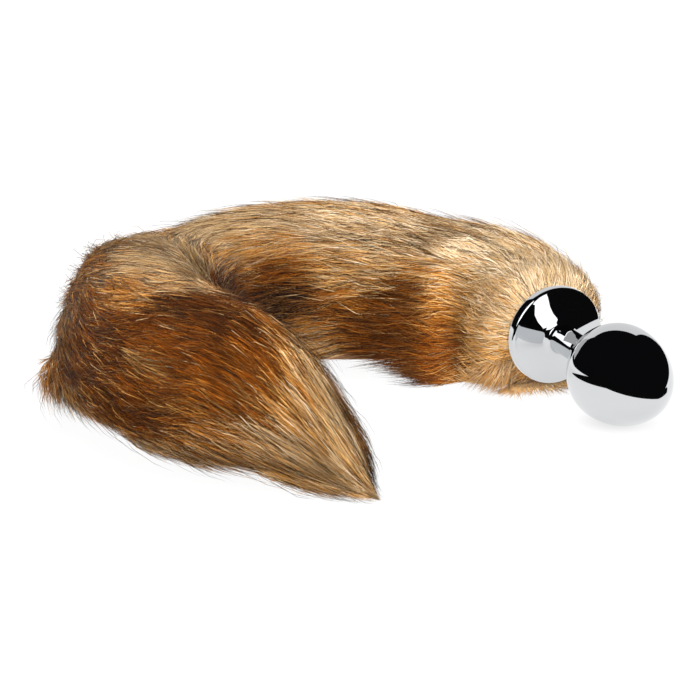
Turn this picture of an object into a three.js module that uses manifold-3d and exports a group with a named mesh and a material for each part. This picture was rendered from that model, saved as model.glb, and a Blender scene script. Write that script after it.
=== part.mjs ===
// Fox tail plug: a turned and polished metal plug with a long faux-fur tail, lying on a flat surface.
// Millimetres, +Z up. The object stands on z = 0, centred over the origin.
import * as THREE from 'three';
import { mergeVertices } from 'three/addons/utils/BufferGeometryUtils.js';
import Module from 'manifold-3d';

const wasm = await Module();
wasm.setup();

// Plug
const FLANGE_D = 41.2;       // round base
const FLANGE_THICK = 4.8;
const RIM_ROUND = 1.2;       // rounding of the base's two edges
const FRONT_SLOPE = 12.5;    // degrees at which the base's front rises from its rim
const ROOT_FILLET = 3.2;     // between the base's front and the stem
const STEM_D = 11.5;
const STEM_LENGTH = 26;      // from the base's rim to the bulb
const BULB_D = 40.2;
const BULB_BACK = 23;        // from the stem to the widest section
const BULB_FRONT = 31.8;     // from the widest section to the tip
const BULB_FULLNESS = 0.72;  // 0.5 is a round front, and more draws it to a point
const FLANGE_LIFT = 1.7;     // the tail holds the rim this far off the surface, on which the bulb lies
const PLUG_TURN = 24.2;      // degrees in plan from straight to the front

// Post that joins the two
const STUD_D = 6;
const STUD_IN_PLUG = 10;
const STUD_IN_TAIL = 24;
const GAP = 0.3;             // clearance between pieces

// Tail
const TAIL_LENGTH = 365;     // along the middle of the fur
const FUR_D = 68;            // over the fur where the tail is fullest
const LOCK_RISE = 5;         // the crest of a lock stands this far off the backing
const LOCK_DEPTH = 7;        // from a lock's crest to its keel, inside the backing
const LOCK_LENGTH = 52;
const LOCK_PITCH = 31;       // from one row of locks to the next
const COLLAR_LENGTH = 48;    // ball of fur behind the plug's base
const COLLAR_LOCK = 0.55;    // its locks' length as a share of its own
const FIRST_ROW = 0.5;       // the tail's first row of locks starts at this share of the ball of fur
const LAST_ROW = 0.6;        // and the last one this share of a lock's length before the tip
const SETTLE = 0.07;         // share of the fur's height that its own weight flattens
const UNDERSIDE = 0.6;       // below this share of the section's half height the backing is bare of locks

// The tail's way over the surface, from the back of the plug's base, as shares of TAIL_LENGTH
const ROUTE = [
  { right: 0, back: 0 },
  { right: -0.015, back: 0.017 },
  { right: -0.048, back: 0.038 },
  { right: -0.102, back: 0.069 },
  { right: -0.179, back: 0.093 },
  { right: -0.261, back: 0.093 },
  { right: -0.338, back: 0.067 },
  { right: -0.404, back: 0.018 },
  { right: -0.446, back: -0.052 },
  { right: -0.451, back: -0.130 },
  { right: -0.424, back: -0.202 },
  { right: -0.380, back: -0.255 },
  { right: -0.330, back: -0.295 },
  { right: -0.284, back: -0.327 },
  { right: -0.245, back: -0.356 },
  { right: -0.218, back: -0.380 },
  { right: -0.202, back: -0.393 },
];

// Sections of the fur: place as a share of the route, half width and half height as shares of half FUR_D
const SECTIONS = [
  { along: 0.035, wide: 0.05, high: 0.05 },
  { along: 0.045, wide: 0.55, high: 0.52 },
  { along: 0.06, wide: 0.84, high: 0.80 },
  { along: 0.085, wide: 0.96, high: 0.93 },
  { along: 0.126, wide: 1.00, high: 0.98 },
  { along: 0.207, wide: 1.04, high: 1.03 },
  { along: 0.290, wide: 1.04, high: 1.05 },
  { along: 0.373, wide: 1.02, high: 1.05 },
  { along: 0.456, wide: 1.02, high: 1.03 },
  { along: 0.536, wide: 1.02, high: 0.99 },
  { along: 0.683, wide: 1.04, high: 0.95 },
  { along: 0.754, wide: 1.04, high: 0.96 },
  { along: 0.823, wide: 0.95, high: 0.92 },
  { along: 0.882, wide: 0.76, high: 0.76 },
  { along: 0.937, wide: 0.47, high: 0.44 },
  { along: 0.978, wide: 0.22, high: 0.18 },
  { along: 1, wide: 0.05, high: 0.05 },
];

// Ball of fur behind the base: distance behind it as a share of COLLAR_LENGTH, radius as a share of half FUR_D
const COLLAR = [
  { behind: 0, wide: 0.56 },
  { behind: 0.10, wide: 0.76 },
  { behind: 0.25, wide: 0.92 },
  { behind: 0.45, wide: 0.97 },
  { behind: 0.65, wide: 0.90 },
  { behind: 0.85, wide: 0.62 },
  { behind: 0.96, wide: 0.32 },
  { behind: 1, wide: 0 },
];

// One lock from root to tip: place, half width and height of the crest as shares of length, half width and rise
const LOCK = [
  { along: 0, wide: 0.5, crest: -0.7 },
  { along: 0.36, wide: 1, crest: 0.6 },
  { along: 0.74, wide: 0.64, crest: 1 },
];
const LOCK_TIP_CREST = 1.25;  // the tip stands off a little more than the crest
const LOCK_EDGE_DROP = 0.5;   // a lock's two edges lie this share of the rise below its crest
const LOCK_HALF_ANGLE = 19;   // degrees round the tail
const LOCK_SPREAD = 30;       // degrees from one lock to the next round the tail
const LOCK_LOWEST = -22;      // degrees below the tail's side where the last lock lies
const LOCK_SWAY = 11;         // degrees that a lock may turn aside on its way to the tip
const UNEVEN = { place: 0.2, turn: 0.12, length: 0.16 };  // how far locks stray, as shares of their spacing

const ROUND_STEPS = 32;
const CURVE_STEPS = 9;
const FILLET_STEPS = 5;
const BACKING_STEPS = 30;
const BACKING_SIDES = 16;

const rad = THREE.MathUtils.degToRad;

const smooth = (t) => t * t * (3 - 2 * t);

// A value read off a table, in a straight line from one row to the next
function between(table, key, place, value) {
  const last = table.length - 1;
  if (value <= table[0][key]) return table[0][place];
  for (let i = 0; i < last; i++) {
    const [from, to] = [table[i], table[i + 1]];
    if (value <= to[key]) {
      const share = (value - from[key]) / (to[key] - from[key]);
      return from[place] + (to[place] - from[place]) * share;
    }
  }
  return table[last][place];
}

// A fixed scatter between -1 and 1 for lock number i of row j
function scatter(i, j) {
  const wave = Math.sin(i * 12.9898 + j * 78.233) * 43758.5453;
  return 2 * (wave - Math.floor(wave)) - 1;
}

function toSolid(geometry, matrix) {
  const bare = geometry.clone();
  bare.deleteAttribute('normal');
  bare.deleteAttribute('uv');
  if (matrix) bare.applyMatrix4(matrix);
  const merged = mergeVertices(bare, 1e-4);
  return new wasm.Manifold(new wasm.Mesh({
    numProp: 3,
    vertProperties: new Float32Array(merged.attributes.position.array),
    triVerts: new Uint32Array(merged.index.array),
  }));
}

// The largest closed skin of a solid, so that no pocket is left between crossing locks
function outerSkin(solid) {
  return solid.decompose().reduce((best, part) => (part.volume() > best.volume() ? part : best));
}

function toGeometry(solid) {
  const mesh = solid.getMesh();
  const geometry = new THREE.BufferGeometry();
  geometry.setAttribute('position', new THREE.BufferAttribute(new Float32Array(mesh.vertProperties), 3));
  geometry.setIndex(new THREE.BufferAttribute(new Uint32Array(mesh.triVerts), 1));
  geometry.computeVertexNormals();
  return geometry;
}

// A closed skin over rings of equal size, with a point at each end
function ringSkin(rings, first, last) {
  const sides = rings[0].length;
  const corners = [first, ...rings.flat(), last];
  const faces = [];
  for (let k = 0; k < sides; k++) {
    const next = (k + 1) % sides;
    faces.push(0, 1 + next, 1 + k);
    for (let r = 0; r < rings.length - 1; r++) {
      const [low, high] = [1 + r * sides, 1 + (r + 1) * sides];
      faces.push(low + k, low + next, high + next, low + k, high + next, high + k);
    }
    const end = 1 + (rings.length - 1) * sides;
    faces.push(end + k, end + next, corners.length - 1);
  }
  const geometry = new THREE.BufferGeometry();
  const places = corners.flatMap((p) => [p.x, p.y, p.z]);
  geometry.setAttribute('position', new THREE.Float32BufferAttribute(places, 3));
  geometry.setIndex(faces);
  return geometry;
}

// The plug's profile from the middle of its back to its tip, as radius and distance along its axis
function plugProfile() {
  const profile = [new THREE.Vector2(0, -FLANGE_THICK)];
  const [rim, stem, bulb] = [FLANGE_D / 2, STEM_D / 2, BULB_D / 2];
  for (const turn of [0, 30, 60, 90]) {
    profile.push(new THREE.Vector2(
      rim - RIM_ROUND * (1 - Math.sin(rad(turn))),
      -FLANGE_THICK + RIM_ROUND * (1 - Math.cos(rad(turn))),
    ));
  }
  for (const turn of [0, 30, 60, 90]) {
    profile.push(new THREE.Vector2(
      rim - RIM_ROUND * (1 - Math.cos(rad(turn))),
      -RIM_ROUND * (1 - Math.sin(rad(turn))),
    ));
  }
  const slope = rad(FRONT_SLOPE);
  const foot = stem + ROOT_FILLET * (1 - Math.sin(slope));
  const filletMiddle = (rim - RIM_ROUND - foot) * Math.tan(slope) + ROOT_FILLET * Math.cos(slope);
  for (let i = 0; i <= FILLET_STEPS; i++) {
    const turn = (Math.PI / 2 - slope) * (1 - i / FILLET_STEPS);
    profile.push(new THREE.Vector2(
      stem + ROOT_FILLET * (1 - Math.cos(turn)),
      filletMiddle - ROOT_FILLET * Math.sin(turn),
    ));
  }
  for (let i = 0; i <= CURVE_STEPS; i++) {
    const turn = (i / CURVE_STEPS) * Math.PI / 2;
    profile.push(new THREE.Vector2(
      stem + (bulb - stem) * Math.sin(turn) ** 2,
      STEM_LENGTH + BULB_BACK * (1 - Math.cos(turn)),
    ));
  }
  for (let i = 1; i <= CURVE_STEPS; i++) {
    const reach = Math.sin((i / CURVE_STEPS) * Math.PI / 2);
    const radius = i < CURVE_STEPS ? bulb * (1 - reach * reach) ** BULB_FULLNESS : 0;
    profile.push(new THREE.Vector2(radius, STEM_LENGTH + BULB_BACK + BULB_FRONT * reach));
  }
  return profile;
}

// A round solid turned about +Z, with the profile given as radius and distance along the axis
function turned(profile, sides = ROUND_STEPS) {
  return new THREE.LatheGeometry(profile, sides).rotateX(Math.PI / 2);
}

function pin(radius, from, to) {
  return turned([
    new THREE.Vector2(0, from),
    new THREE.Vector2(radius, from),
    new THREE.Vector2(radius, to),
    new THREE.Vector2(0, to),
  ], ROUND_STEPS / 2);
}

// Where the plug lies: its axis falls from the base, held up by the tail, to the bulb on the surface
const widest = STEM_LENGTH + BULB_BACK;
const dip = Math.asin((FLANGE_D / 2 + FLANGE_LIFT - BULB_D / 2) / widest);
const turn = rad(PLUG_TURN);
const axis = new THREE.Vector3(
  Math.sin(turn) * Math.cos(dip),
  -Math.cos(turn) * Math.cos(dip),
  -Math.sin(dip),
);
const seat = new THREE.Matrix4().makeRotationFromQuaternion(
  new THREE.Quaternion().setFromUnitVectors(new THREE.Vector3(0, 0, 1), axis),
);
const plugShape = turned(plugProfile());
const lowest = new THREE.Box3().setFromBufferAttribute(
  plugShape.clone().applyMatrix4(seat).attributes.position,
).min.z;
seat.setPosition(0, 0, -lowest);

const back = new THREE.Vector3(0, 0, -FLANGE_THICK).applyMatrix4(seat);

// The tail's way, and the frame of its section at a distance from the plug's back
const route = new THREE.CatmullRomCurve3(
  ROUTE.map((p) => new THREE.Vector3(back.x + p.right * TAIL_LENGTH, back.y + p.back * TAIL_LENGTH, 0)),
  false,
  'centripetal',
);
const routeLength = route.getLength();
const UP = new THREE.Vector3(0, 0, 1);

function tailPoint(distance, angle, out) {
  const share = THREE.MathUtils.clamp(distance / routeLength, 0, 1);
  const middle = route.getPointAt(share);
  const side = new THREE.Vector3().crossVectors(route.getTangentAt(share), UP).normalize();
  const wide = between(SECTIONS, 'along', 'wide', share) * FUR_D / 2;
  const high = between(SECTIONS, 'along', 'high', share) * FUR_D / 2;
  const lift = between(SECTIONS, 'along', 'high', Math.max(share, COLLAR_LENGTH / routeLength)) * FUR_D / 2;
  const covered = smooth(THREE.MathUtils.clamp(1 + Math.sin(angle) / UNDERSIDE, 0, 1));
  const off = out - Math.min(LOCK_RISE, wide / 2) * covered;
  return middle
    .addScaledVector(side, (wide + off) * Math.cos(angle))
    .addScaledVector(UP, lift * (1 - SETTLE) + (high + off) * Math.sin(angle));
}

// The ball of fur behind the base, turned about the plug's axis; a distance is measured back from the base
function collarPoint(distance, angle, out) {
  const share = THREE.MathUtils.clamp(distance / COLLAR_LENGTH, 0, 1);
  const radius = between(COLLAR, 'behind', 'wide', share) * FUR_D / 2;
  const off = Math.max(0, radius + out - Math.min(LOCK_RISE, radius / 2));
  return new THREE.Vector3(off * Math.cos(angle), off * Math.sin(angle), -FLANGE_THICK - GAP - distance)
    .applyMatrix4(seat);
}

// A tapered lock that lies along a surface: a keel inside the backing, two edges and a crest, closed to a tip
function lock(surface, start, angle, length, sway, halfAngle) {
  const point = (row, aside, crest) => surface(
    start + row.along * length,
    angle + sway * smooth(row.along) + aside * halfAngle * row.wide,
    crest,
  );
  const rings = LOCK.map((row) => {
    const crest = row.crest * LOCK_RISE;
    const edge = crest - LOCK_EDGE_DROP * LOCK_RISE;
    return [
      point(row, 0, crest - LOCK_DEPTH),
      point(row, 1, edge),
      point(row, 0, crest),
      point(row, -1, edge),
    ];
  });
  const root = surface(start - LOCK_DEPTH / 2, angle, LOCK[0].crest * LOCK_RISE - LOCK_DEPTH / 2);
  const tip = point({ along: 1, wide: 0 }, 0, LOCK_TIP_CREST * LOCK_RISE);
  return ringSkin(rings, root, tip);
}

// Rows of locks, staggered like shingles, that all lie toward the tail's tip
function tailLocks() {
  const locks = [];
  const firstRow = COLLAR_LENGTH * FIRST_ROW;
  const rows = Math.round((routeLength - firstRow - LOCK_LENGTH * LAST_ROW) / LOCK_PITCH);
  for (let row = 0; row <= rows; row++) {
    const start = firstRow + row * LOCK_PITCH;
    const stagger = (row % 2) * LOCK_SPREAD / 2;
    let number = 0;
    for (let around = LOCK_LOWEST + stagger; around <= 180 - LOCK_LOWEST; around += LOCK_SPREAD) {
      number += 1;
      locks.push(lock(
        tailPoint,
        start + scatter(number, row) * LOCK_PITCH * UNEVEN.place,
        rad(around + scatter(row, number) * LOCK_SPREAD * UNEVEN.turn),
        Math.min(LOCK_LENGTH * (1 + UNEVEN.length * scatter(number + 3, row)), routeLength - start),
        rad(LOCK_SWAY * scatter(number, row + 7)),
        rad(LOCK_HALF_ANGLE),
      ));
    }
  }
  return locks;
}

// A ring of locks round the base of the tail, that spring from behind the plug's base
function collarLocks() {
  const locks = [];
  const count = Math.round(360 / LOCK_SPREAD);
  for (let number = 0; number < count; number++) {
    locks.push(lock(
      collarPoint,
      LOCK_DEPTH,
      2 * Math.PI * number / count,
      COLLAR_LENGTH * COLLAR_LOCK * (1 + UNEVEN.length * scatter(number, 1)),
      rad(LOCK_SWAY * scatter(number, 5)),
      rad(LOCK_HALF_ANGLE),
    ));
  }
  return locks;
}

// The tail: a backing over the sections of the fur, fused with its locks, and cut clear of the surface,
// the plug and the post
function furTail() {
  const rings = [];
  const from = SECTIONS[0].along;
  for (let i = 0; i <= BACKING_STEPS; i++) {
    const distance = routeLength * (from + (1 - from) * i / BACKING_STEPS);
    rings.push(Array.from({ length: BACKING_SIDES }, (_, k) => (
      tailPoint(distance, -2 * Math.PI * k / BACKING_SIDES, 0)
    )));
  }
  const middle = (ring) => ring.reduce((sum, p) => sum.add(p), new THREE.Vector3()).divideScalar(ring.length);
  const body = ringSkin(rings, middle(rings[0]), middle(rings.at(-1)));

  const collarRings = [];
  for (let i = 0; i < CURVE_STEPS; i++) {
    collarRings.push(Array.from({ length: BACKING_SIDES }, (_, k) => (
      collarPoint(COLLAR_LENGTH * i / CURVE_STEPS, -2 * Math.PI * k / BACKING_SIDES, 0)
    )));
  }
  const collar = ringSkin(collarRings, collarPoint(0, 0, -FUR_D), collarPoint(COLLAR_LENGTH, 0, -FUR_D));

  const parts = [body, collar, ...tailLocks(), ...collarLocks()].map((shape) => toSolid(shape));
  const fur = outerSkin(wasm.Manifold.union(parts));

  const reach = 2 * TAIL_LENGTH;
  const floor = new THREE.BoxGeometry(reach, reach, FUR_D).translate(0, 0, -FUR_D / 2);
  const plugRoom = pin(Math.max(FLANGE_D, BULB_D) / 2 + GAP, -FLANGE_THICK - GAP, widest + BULB_FRONT);
  const studRoom = pin(STUD_D / 2 + GAP, -FLANGE_THICK - STUD_IN_TAIL - GAP, 0);
  return outerSkin(fur
    .subtract(toSolid(floor))
    .subtract(toSolid(plugRoom, seat))
    .subtract(toSolid(studRoom, seat)));
}

const chrome = new THREE.MeshStandardMaterial({ color: 0xdfe2e6, roughness: 0.06, metalness: 1 });
const steel = new THREE.MeshStandardMaterial({ color: 0x9a9da1, roughness: 0.35, metalness: 1 });
const fur = new THREE.MeshStandardMaterial({ color: 0xa9824f, roughness: 0.9, metalness: 0 });

function piece(name, solid, material) {
  const mesh = new THREE.Mesh(toGeometry(solid), material);
  mesh.name = name;
  return mesh;
}

const studHole = pin(STUD_D / 2 + GAP, -FLANGE_THICK - 1, -FLANGE_THICK + STUD_IN_PLUG + GAP);
const plugBody = toSolid(plugShape, seat).subtract(toSolid(studHole, seat));
const tailStud = toSolid(pin(STUD_D / 2, -FLANGE_THICK - STUD_IN_TAIL, -FLANGE_THICK + STUD_IN_PLUG), seat);

const object = new THREE.Group();
object.add(
  piece('plug_body', plugBody, chrome),
  piece('tail_stud', tailStud, steel),
  piece('fur_tail', furTail(), fur),
);

// Stand the whole on z = 0, centred over the origin
const box = new THREE.Box3().setFromObject(object);
const centre = box.getCenter(new THREE.Vector3());
object.position.set(-centre.x, -centre.y, -box.min.z);

export default object;
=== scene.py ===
"""A polished metal plug with a round base, joined to a long bushy fox tail of faux fur that lies curled on
a white surface. The frame gives the row frame (metres, +Z up, the photo's camera looks along +Y)."""
import math

import bpy
import numpy as np
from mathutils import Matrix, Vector


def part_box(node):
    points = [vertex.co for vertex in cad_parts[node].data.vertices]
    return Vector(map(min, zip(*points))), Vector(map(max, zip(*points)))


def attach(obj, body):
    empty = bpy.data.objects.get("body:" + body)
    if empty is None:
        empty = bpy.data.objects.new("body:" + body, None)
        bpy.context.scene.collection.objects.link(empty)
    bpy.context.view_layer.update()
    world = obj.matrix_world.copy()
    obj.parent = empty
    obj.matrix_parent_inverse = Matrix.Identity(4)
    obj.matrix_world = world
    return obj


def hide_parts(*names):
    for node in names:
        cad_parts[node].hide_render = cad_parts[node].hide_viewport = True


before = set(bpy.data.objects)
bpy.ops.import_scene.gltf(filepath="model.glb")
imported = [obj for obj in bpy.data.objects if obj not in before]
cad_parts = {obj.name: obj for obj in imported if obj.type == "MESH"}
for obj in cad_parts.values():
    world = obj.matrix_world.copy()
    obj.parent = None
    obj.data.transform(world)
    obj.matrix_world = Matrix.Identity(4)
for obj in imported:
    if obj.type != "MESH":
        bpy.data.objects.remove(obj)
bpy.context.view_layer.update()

MM = 0.001

# The plug: turned from light alloy in one piece with its base, stem and egg-shaped bulb, then polished
# and chrome plated to a mirror. Its base has a rounded rim and a front that rises as a flat cone to the stem.
BASE_RADIUS = 20.6
BASE_THICK = 4.8
RIM_ROUND = 1.2
FRONT_SLOPE = math.radians(12.5)
ROOT_FILLET = 3.2
STEM_RADIUS = 5.75
STEM_END = 26.0
BULB_RADIUS = 20.1
BULB_BACK = 23.0
BULB_FRONT = 31.8
BULB_FULLNESS = 0.72
PLUG_SIDES = 144
PLUG_TURN = math.radians(24.2)
# how much lower the bulb's middle is than the base's, and how far the post's middle is behind the
# front of the base
BULB_DROP = 2.2
POST_BEHIND = 11.8

# the post runs along the plug's axis, from 24 mm behind the back of the base to 10 mm in front of it
stud_low, stud_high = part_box("tail_stud")
plug_dip = math.asin(BULB_DROP / (STEM_END + BULB_BACK))
axis = np.array([math.sin(PLUG_TURN) * math.cos(plug_dip), -math.cos(PLUG_TURN) * math.cos(plug_dip),
                 -math.sin(plug_dip)])
base_front = np.array((stud_low + stud_high) / 2) / MM + axis * POST_BEHIND
across = np.cross(-axis, (0, 0, 1))
across /= np.linalg.norm(across)
upright = np.cross(across, -axis)


def plug_profile():
    """Radius and distance along the axis from the back of the base to the tip. The base's front rises by
    (rim - r) tan slope up to the fillet, C - R (cos t, sin t), the bulb's back is stem + (bulb - stem) sin^2
    and its front bulb (1 - t^2)^0.72."""
    quarter = np.linspace(0, math.pi / 2, 9)
    turn = np.linspace(0, math.pi / 2, 34)
    reach = np.sin(np.linspace(0, math.pi / 2, 42))[1:]
    rim = BASE_RADIUS - RIM_ROUND
    foot = STEM_RADIUS + ROOT_FILLET * (1 - math.sin(FRONT_SLOPE))
    cone = np.linspace(rim, foot, 14)[1:]
    fillet = np.linspace(math.pi / 2 - FRONT_SLOPE, 0, 12)[1:]
    fillet_middle = (rim - foot) * math.tan(FRONT_SLOPE) + ROOT_FILLET * math.cos(FRONT_SLOPE)
    radius = [
        [0, 0.5 * BASE_RADIUS],
        BASE_RADIUS - RIM_ROUND * (1 - np.sin(quarter)),
        BASE_RADIUS - RIM_ROUND * (1 - np.cos(quarter)),
        cone,
        STEM_RADIUS + ROOT_FILLET * (1 - np.cos(fillet)),
        np.full(6, STEM_RADIUS),
        STEM_RADIUS + (BULB_RADIUS - STEM_RADIUS) * np.sin(turn) ** 2,
        BULB_RADIUS * np.maximum(1 - reach ** 2, 0) ** BULB_FULLNESS,
    ]
    place = [
        [-BASE_THICK, -BASE_THICK],
        -BASE_THICK + RIM_ROUND * (1 - np.cos(quarter)),
        -RIM_ROUND * (1 - np.sin(quarter)),
        (rim - cone) * math.tan(FRONT_SLOPE),
        fillet_middle - ROOT_FILLET * np.sin(fillet),
        np.linspace(fillet_middle + 0.3, STEM_END - 0.3, 6),
        STEM_END + BULB_BACK * (1 - np.cos(turn)),
        STEM_END + BULB_BACK + BULB_FRONT * reach,
    ]
    return np.concatenate(radius), np.concatenate(place)


def turned(radius, place):
    """Points and faces of a closed form turned about the plug's axis,
    front + s axis + r (across cos a + up sin a)."""
    angle = np.arange(PLUG_SIDES) * 2 * math.pi / PLUG_SIDES
    ring = np.cos(angle)[:, None] * across + np.sin(angle)[:, None] * upright
    middle = base_front + place[1:-1, None] * axis
    points = middle[:, None] + radius[1:-1, None, None] * ring
    ends = base_front + place[[0, -1], None] * axis
    points = np.concatenate([ends[:1], points.reshape(-1, 3), ends[1:]])
    rings = len(radius) - 2
    low = 1 + np.arange(rings - 1)[:, None] * PLUG_SIDES + np.arange(PLUG_SIDES)
    beside = 1 + np.arange(rings - 1)[:, None] * PLUG_SIDES + (np.arange(PLUG_SIDES) + 1) % PLUG_SIDES
    walls = np.stack([low, low + PLUG_SIDES, beside + PLUG_SIDES, beside], -1).reshape(-1, 4)
    first = np.stack([np.zeros(PLUG_SIDES), low[0], beside[0]], -1)
    last = np.stack([np.full(PLUG_SIDES, len(points) - 1), beside[-1] + PLUG_SIDES, low[-1] + PLUG_SIDES], -1)
    return points, [walls, first, last]


class Shade:
    """A socket in a material's nodes. Sums, products and the like of sockets and numbers add the nodes."""

    def __init__(self, tree, socket):
        self.tree = tree
        self.socket = socket

    def node(self, kind, settings=None, values=None, output=0):
        """A new node of that type with its settings and socket values, as one of its outputs."""
        made = self.tree.nodes.new(kind)
        for name, value in (settings or {}).items():
            setattr(made, name, value)
        for name, value in (values or {}).items():
            self.join(made.inputs[name], value)
        return Shade(self.tree, made.outputs[output])

    def join(self, place, value):
        """Links a socket to a Shade, or gives it a value."""
        if isinstance(value, Shade):
            self.tree.links.new(value.socket, place)
        else:
            place.default_value = value

    def maths(self, operation, first, second=0.0):
        """A Math node on two Shades or numbers."""
        return self.node("ShaderNodeMath", {"operation": operation}, {0: first, 1: second})

    def __add__(self, other):
        return self.maths("ADD", self, other)

    def __radd__(self, other):
        return self.maths("ADD", other, self)

    def __sub__(self, other):
        return self.maths("SUBTRACT", self, other)

    def __rsub__(self, other):
        return self.maths("SUBTRACT", other, self)

    def __mul__(self, other):
        return self.maths("MULTIPLY", self, other)

    def __rmul__(self, other):
        return self.maths("MULTIPLY", other, self)

    def part(self, name):
        """One of X, Y and Z of a vector."""
        return self.node("ShaderNodeSeparateXYZ", None, {0: self}, name)

    def between(self, low, high):
        """0 below low, 1 above high, and a smooth rise from one to the other."""
        return self.node("ShaderNodeMapRange", {"interpolation_type": "SMOOTHSTEP"},
                         {0: self, 1: low, 2: high})

    def ramp(self, stops, interpolation="LINEAR"):
        """A colour read off a ramp of (place, colour) stops."""
        made = self.tree.nodes.new("ShaderNodeValToRGB")
        made.color_ramp.interpolation = interpolation
        rows = made.color_ramp.elements
        while len(rows) < len(stops):
            rows.new(1.0)
        for row, (place, colour) in zip(rows, stops):
            row.position = place
            row.color = colour
        self.tree.links.new(self.socket, made.inputs[0])
        return Shade(self.tree, made.outputs[0])

    def mix(self, first, second):
        """The first colour where this is 0 and the second where it is 1."""
        return self.node("ShaderNodeMix", {"data_type": "RGBA"}, {0: self, 6: first, 7: second}, 2)

    def times(self, amount):
        """A colour made brighter or darker by a number or a socket."""
        return self.node("ShaderNodeVectorMath", {"operation": "SCALE"}, {0: self, "Scale": amount})


def paint(code):
    """The linear colour of a six-figure screen colour."""
    parts = [int(code[i:i + 2], 16) / 255 for i in (0, 2, 4)]
    linear = [c / 12.92 if c <= 0.04045 else ((c + 0.055) / 1.055) ** 2.4 for c in parts]
    return (*linear, 1.0)


def new_material(name, **sockets):
    """A Principled material, as (material, its shader node, a Shade that new nodes start from)."""
    material = bpy.data.materials.new(name)
    material.use_nodes = True
    shader = material.node_tree.nodes["Principled BSDF"]
    for place, value in sockets.items():
        shader.inputs[place.replace("_", " ")].default_value = value
    return material, shader, Shade(material.node_tree, shader.outputs[0])


def feed(shader, place, value):
    """Joins a Shade to a socket of the shader."""
    shader.id_data.links.new(value.socket, shader.inputs[place])


def new_piece(name, points, faces, material, smooth=True, maps=None):
    """A mesh from arrays: points in mm, faces as a list of arrays with 3 or 4 columns, maps as
    {name: an array of 2 numbers for each corner of each face}."""
    mesh = bpy.data.meshes.new(name)
    corners = np.concatenate([f.ravel() for f in faces]).astype(np.int32)
    sides = np.concatenate([np.full(len(f), f.shape[1]) for f in faces])
    starts = np.concatenate([[0], np.cumsum(sides)[:-1]]).astype(np.int32)
    mesh.vertices.add(len(points))
    mesh.vertices.foreach_set("co", (points * MM).astype(np.float32).ravel())
    mesh.loops.add(len(corners))
    mesh.loops.foreach_set("vertex_index", corners)
    mesh.polygons.add(len(starts))
    mesh.polygons.foreach_set("loop_start", starts)
    mesh.update(calc_edges=True)
    mesh.polygons.foreach_set("use_smooth", np.full(len(starts), smooth))
    for title, values in (maps or {}).items():
        mesh.uv_layers.new(name=title).data.foreach_set("uv", values.astype(np.float32).ravel())
    mesh.materials.append(material)
    piece = bpy.data.objects.new(name, mesh)
    bpy.context.collection.objects.link(piece)
    return piece


chrome, chrome_shader, shade = new_material("chrome", Metallic=1.0, Base_Color=paint("d3d5d7"),
                                            Roughness=0.03)
spot = shade.node("ShaderNodeTexCoord", output="Object")
haze = shade.node("ShaderNodeTexNoise", None, {"Vector": spot, "Scale": 90.0, "Detail": 4.0})
feed(chrome_shader, "Roughness", 0.012 + 0.03 * haze.between(0.45, 0.8))
radius, place = plug_profile()
points, faces = turned(radius, place)
plug = new_piece("plug", points, faces, chrome)
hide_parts("plug_body")
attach(plug, "root")

# The post between plug and tail: a steel pin, 6 mm thick and 34 mm long. It is screwed into the base and sunk
# in the tail, out of sight.
steel, steel_shader, shade = new_material("post_steel", Metallic=1.0, Base_Color=paint("b9bbbf"),
                                          Roughness=0.3)
spot = shade.node("ShaderNodeTexCoord", output="Object")
grain = shade.node("ShaderNodeTexNoise", None, {"Vector": spot, "Scale": 900.0, "Detail": 2.0})
feed(steel_shader, "Roughness", 0.24 + 0.14 * grain)
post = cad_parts["tail_stud"]
post.data.materials.clear()
post.data.materials.append(steel)

# The tail's backing: a sleeve of knitted cloth with short dense undercoat, curled over the surface. It shows
# only as the dark ground between the hairs, and lies about 5 mm inside the outline of the fur.
TAIL_LENGTH = 365.0
FUR_RADIUS = 34.0
BALL_LENGTH = 48.0
SETTLE = 0.07
FLOOR_CLEAR = 0.35
BACKING_DEPTH = 5.0
# the hole that the post sits in
WELL_DEPTH = 25.0
WELL_RADIUS = 3.5

# the middle of the tail in plan, from the back of the base: right and back as shares of its length
ROUTE = np.array([
    (0, 0), (-0.015, 0.017), (-0.048, 0.038), (-0.102, 0.069), (-0.179, 0.093), (-0.261, 0.093),
    (-0.338, 0.067), (-0.404, 0.018), (-0.446, -0.052), (-0.451, -0.130), (-0.424, -0.202),
    (-0.380, -0.255), (-0.330, -0.295), (-0.284, -0.327), (-0.245, -0.356), (-0.218, -0.380),
    (-0.202, -0.393),
])
# place along the tail, half width and half height, as shares of its length and of the fur's radius
SECTIONS = np.array([
    (0.035, 0.05, 0.05), (0.045, 0.55, 0.52), (0.06, 0.84, 0.80), (0.085, 0.96, 0.93), (0.126, 1.00, 0.98),
    (0.207, 1.04, 1.03), (0.290, 1.04, 1.05), (0.373, 1.02, 1.05), (0.456, 1.02, 1.03), (0.536, 1.02, 0.99),
    (0.683, 1.04, 0.95), (0.754, 1.04, 0.96), (0.823, 0.95, 0.92), (0.882, 0.76, 0.76), (0.937, 0.47, 0.44),
    (0.978, 0.22, 0.18), (1, 0.05, 0.05),
])
# the ball of fur behind the base: distance behind it and radius, in mm
BALL = np.array([(0, 19.0), (4.8, 25.8), (12, 31.3), (21.6, 33.0)])

base_back = base_front - BASE_THICK * axis


def smooth(t):
    """3 t^2 - 2 t^3 between 0 and 1."""
    t = np.clip(t, 0, 1)
    return t * t * (3 - 2 * t)


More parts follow.
